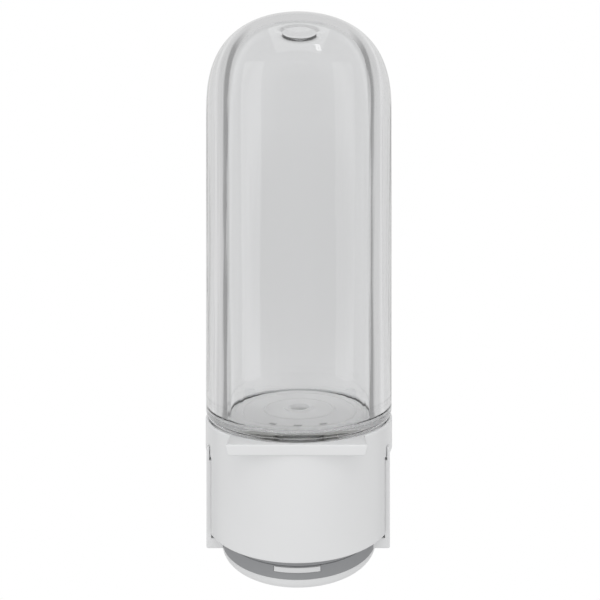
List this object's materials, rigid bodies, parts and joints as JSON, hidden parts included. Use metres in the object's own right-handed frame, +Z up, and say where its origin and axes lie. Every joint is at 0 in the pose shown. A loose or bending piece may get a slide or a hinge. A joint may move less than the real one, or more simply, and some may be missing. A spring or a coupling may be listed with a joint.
{
  "type": "wall mounted soap dispenser",
  "caption": "Wall mounted soap dispenser: a clear domed tank stands on a white rocking push cover over a piston pump, with a grey band and a rounded base.",
  "frame": {"origin": "midway between the two wall screws, on the face that rests on the wall", "axes": "+Z up along the tank's axis, +Y into the wall, +X to the right of a user who faces the dispenser"},
  "size_m": [0.0798, 0.0857, 0.2259],
  "materials": {
    "white_plastic": "satin white ABS",
    "band_grey": "matte grey ABS",
    "deck_plastic": "natural polypropylene",
    "grey_plastic": "grey acetal",
    "clear_tank": "clear thick-walled copolyester, polished",
    "steel": "bright stainless",
    "black_rubber": "matte nitrile rubber",
    "pale_rubber": "translucent silicone"
  },
  "bodies": {
    "housing": {"wall_plate": "white_plastic", "rear_housing": "white_plastic", "seat_deck": "deck_plastic", "pump_carrier": "grey_plastic", "pump_block": "deck_plastic", "pump_gland": "deck_plastic", "inlet_seal": "black_rubber", "inlet_ball": "steel", "inlet_spring": "steel", "outlet_nozzle": "deck_plastic", "outlet_valve": "pale_rubber", "upper_skirt": "band_grey", "base_skirt": "band_grey", "base_cap": "white_plastic", "tab_spring": "steel", "return_spring": "steel", "hinge_pin_left": "steel", "hinge_pin_right": "steel", "housing_screw_left": "steel", "housing_screw_right": "steel", "carrier_screw_left": "steel", "carrier_screw_right": "steel", "deck_screw_left": "steel", "deck_screw_right": "steel"},
    "cover": {"push_cover": "white_plastic", "pusher": "grey_plastic", "pusher_pad": "black_rubber", "cover_screw_left": "steel", "cover_screw_right": "steel"},
    "piston": {"piston": "deck_plastic", "piston_cup": "black_rubber"},
    "tab": {"release_tab": "white_plastic"},
    "tank": {"tank": "clear_tank", "floor_plate": "deck_plastic", "neck_seal": "pale_rubber", "tank_cap": "deck_plastic", "cap_gasket": "pale_rubber", "cap_valve": "pale_rubber"}
  },
  "joints": [
    {"name": "cover_rock", "type": "hinge", "parent": "housing", "child": "cover", "pos_m": [0, -0.045, 0.018], "axis": [1, 0, 0], "range_deg": [0, 4], "stiffness_Nm_per_rad": 0.6, "springref_deg": -20.05},
    {"name": "piston_stroke", "type": "slide", "parent": "housing", "child": "piston", "axis": [0, 1, 0], "range_m": [0, 0.0026], "stiffness_N_per_m": 40, "springref_m": -0.004, "deforming": ["return_spring"]},
    {"name": "tab_press", "type": "slide", "parent": "housing", "child": "tab", "axis": [0, 1, 0], "range_m": [0, 0.0015], "stiffness_N_per_m": 400, "springref_m": -0.002, "deforming": ["tab_spring"]},
    {"name": "tank_lift", "type": "slide", "parent": "housing", "child": "tank", "axis": [0, 0, 1], "range_m": [0, 0.07]}
  ],
  "couplings": [
    {"joint": "piston_stroke", "follows": "cover_rock", "m_per_rad": 0.0285}
  ]
}
